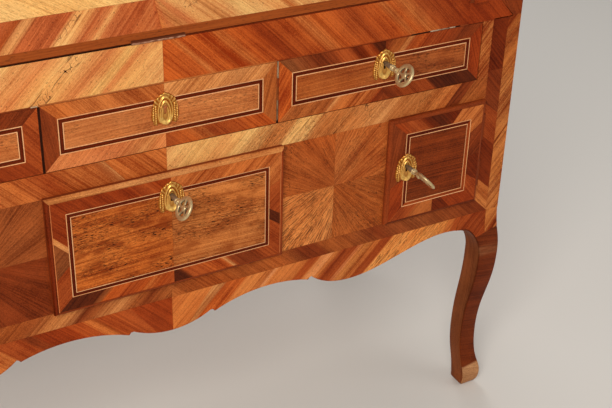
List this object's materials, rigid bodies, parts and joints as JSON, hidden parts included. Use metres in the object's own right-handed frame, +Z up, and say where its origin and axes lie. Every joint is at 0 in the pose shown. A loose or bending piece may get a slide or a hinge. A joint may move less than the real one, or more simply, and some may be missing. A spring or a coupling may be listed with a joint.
{
  "type": "slant-front desk",
  "caption": "Veneered slant-front desk on cabriole legs, with a fall lid on lopers, a pigeonhole gallery, frieze drawers, a deep drawer and cupboard doors with keyed locks.",
  "frame": {"origin": "centre of the floor area that the whole object covers, at the floor", "axes": "+Z up, +X to the right along the desk's width, the front with the drawers and the lid faces -Y"},
  "size_m": [1.07, 0.578, 1.003],
  "materials": {
    "veneered_wood": "polished bookmatched veneer",
    "solid_nosing_wood": "polished solid wood",
    "carcase_wood": "plain waxed wood",
    "gilt_brass": "gilt cast brass",
    "key_steel": "worn steel",
    "lock_steel": "old steel"
  },
  "bodies": {
    "carcase": {"left_side_panel": "veneered_wood", "right_side_panel": "veneered_wood", "back_panel": "carcase_wood", "top_board": "veneered_wood", "writing_bed": "carcase_wood", "frieze_board": "carcase_wood", "middle_board": "carcase_wood", "bottom_board": "carcase_wood", "frieze_rail": "veneered_wood", "mid_rail": "veneered_wood", "base_rail": "veneered_wood", "front_apron": "veneered_wood", "leg_front_left": "veneered_wood", "leg_front_right": "veneered_wood", "leg_back_left": "veneered_wood", "leg_back_right": "veneered_wood", "frieze_drawer_guides": "carcase_wood", "lower_partitions": "carcase_wood", "parquetry_panels": "veneered_wood", "loper_guides": "carcase_wood", "pigeonhole_gallery": "carcase_wood", "lid_hinge_lower_leaves": "lock_steel", "door_hinge_post_leaves": "lock_steel", "hinge_pins": "lock_steel"},
    "lid": {"lid_board": "veneered_wood", "lid_nosing": "solid_nosing_wood", "lid_hinge_upper_leaves": "lock_steel", "lid_escutcheon": "gilt_brass"},
    "left_frieze_drawer": {"left_frieze_drawer_front": "veneered_wood", "left_frieze_drawer_box": "carcase_wood", "left_frieze_drawer_escutcheon": "gilt_brass"},
    "centre_frieze_drawer": {"centre_frieze_drawer_front": "veneered_wood", "centre_frieze_drawer_box": "carcase_wood", "centre_frieze_drawer_escutcheon": "gilt_brass"},
    "right_frieze_drawer": {"right_frieze_drawer_front": "veneered_wood", "right_frieze_drawer_box": "carcase_wood", "right_frieze_drawer_escutcheon": "gilt_brass", "right_frieze_drawer_lock_case": "lock_steel"},
    "lower_drawer": {"lower_drawer_front": "veneered_wood", "lower_drawer_box": "carcase_wood", "lower_drawer_escutcheon": "gilt_brass", "lower_drawer_lock_case": "lock_steel"},
    "left_cupboard_door": {"left_door": "veneered_wood", "left_door_escutcheon": "gilt_brass", "left_door_hinge_leaves": "lock_steel"},
    "right_cupboard_door": {"right_door": "veneered_wood", "right_door_escutcheon": "gilt_brass", "right_door_hinge_leaves": "lock_steel", "right_door_lock_case": "lock_steel"},
    "left_lid_loper": {"left_loper": "veneered_wood"},
    "right_lid_loper": {"right_loper": "veneered_wood"},
    "left_small_drawer": {"left_gallery_drawer": "carcase_wood"},
    "centre_small_drawer": {"centre_gallery_drawer": "carcase_wood"},
    "right_small_drawer": {"right_gallery_drawer": "carcase_wood"},
    "right_frieze_drawer_key_body": {"right_frieze_drawer_key": "key_steel"},
    "right_frieze_drawer_bolt_body": {"right_frieze_drawer_bolt": "lock_steel"},
    "lower_drawer_key_body": {"lower_drawer_key": "key_steel"},
    "lower_drawer_bolt_body": {"lower_drawer_bolt": "lock_steel"},
    "right_door_key_body": {"right_door_key": "key_steel"},
    "right_door_bolt_body": {"right_door_bolt": "lock_steel"}
  },
  "joints": [
    {"name": "lid_fall", "type": "hinge", "parent": "carcase", "child": "lid", "pos_m": [0, -0.2175, 0.6905], "axis": [1, 0, 0], "range_deg": [0, 124]},
    {"name": "left_frieze_drawer_slide", "type": "slide", "parent": "carcase", "child": "left_frieze_drawer", "axis": [0, -1, 0], "range_m": [0, 0.33]},
    {"name": "centre_frieze_drawer_slide", "type": "slide", "parent": "carcase", "child": "centre_frieze_drawer", "axis": [0, -1, 0], "range_m": [0, 0.33]},
    {"name": "right_frieze_drawer_slide", "type": "slide", "parent": "carcase", "child": "right_frieze_drawer", "axis": [0, -1, 0], "range_m": [0, 0.33]},
    {"name": "lower_drawer_slide", "type": "slide", "parent": "carcase", "child": "lower_drawer", "axis": [0, -1, 0], "range_m": [0, 0.33]},
    {"name": "left_door_swing", "type": "hinge", "parent": "carcase", "child": "left_cupboard_door", "pos_m": [-0.4828, -0.21765, 0.438], "axis": [0, 0, -1], "range_deg": [0, 95]},
    {"name": "right_door_swing", "type": "hinge", "parent": "carcase", "child": "right_cupboard_door", "pos_m": [0.4828, -0.21765, 0.438], "axis": [0, 0, 1], "range_deg": [0, 95]},
    {"name": "left_loper_slide", "type": "slide", "parent": "carcase", "child": "left_lid_loper", "axis": [0, -1, 0], "range_m": [0, 0.26]},
    {"name": "right_loper_slide", "type": "slide", "parent": "carcase", "child": "right_lid_loper", "axis": [0, -1, 0], "range_m": [0, 0.26]},
    {"name": "left_small_drawer_slide", "type": "slide", "parent": "carcase", "child": "left_small_drawer", "axis": [0, -1, 0], "range_m": [0, 0.11]},
    {"name": "centre_small_drawer_slide", "type": "slide", "parent": "carcase", "child": "centre_small_drawer", "axis": [0, -1, 0], "range_m": [0, 0.11]},
    {"name": "right_small_drawer_slide", "type": "slide", "parent": "carcase", "child": "right_small_drawer", "axis": [0, -1, 0], "range_m": [0, 0.11]},
    {"name": "right_frieze_drawer_key_turn", "type": "hinge", "parent": "right_frieze_drawer", "child": "right_frieze_drawer_key_body", "pos_m": [0.30875, -0.2175, 0.604], "axis": [0, -1, 0], "range_deg": [0, 90]},
    {"name": "right_frieze_drawer_bolt_throw", "type": "slide", "parent": "right_frieze_drawer", "child": "right_frieze_drawer_bolt_body", "axis": [0, 0, 1], "range_m": [0, 0.008]},
    {"name": "lower_drawer_key_turn", "type": "hinge", "parent": "lower_drawer", "child": "lower_drawer_key_body", "pos_m": [0, -0.228, 0.49], "axis": [0, -1, 0], "range_deg": [0, 90]},
    {"name": "lower_drawer_bolt_throw", "type": "slide", "parent": "lower_drawer", "child": "lower_drawer_bolt_body", "axis": [0, 0, 1], "range_m": [0, 0.008]},
    {"name": "right_door_key_turn", "type": "hinge", "parent": "right_cupboard_door", "child": "right_door_key_body", "pos_m": [0.3505, -0.225, 0.446], "axis": [0, -1, 0], "range_deg": [0, 90]},
    {"name": "right_door_bolt_throw", "type": "slide", "parent": "right_cupboard_door", "child": "right_door_bolt_body", "axis": [-1, 0, 0], "range_m": [0, 0.008]}
  ],
  "couplings": [
    {"joint": "right_frieze_drawer_bolt_throw", "follows": "right_frieze_drawer_key_turn", "m_per_rad": 0.0050879},
    {"joint": "lower_drawer_bolt_throw", "follows": "lower_drawer_key_turn", "m_per_rad": 0.0050879},
    {"joint": "right_door_bolt_throw", "follows": "right_door_key_turn", "m_per_rad": 0.0050879}
  ]
}
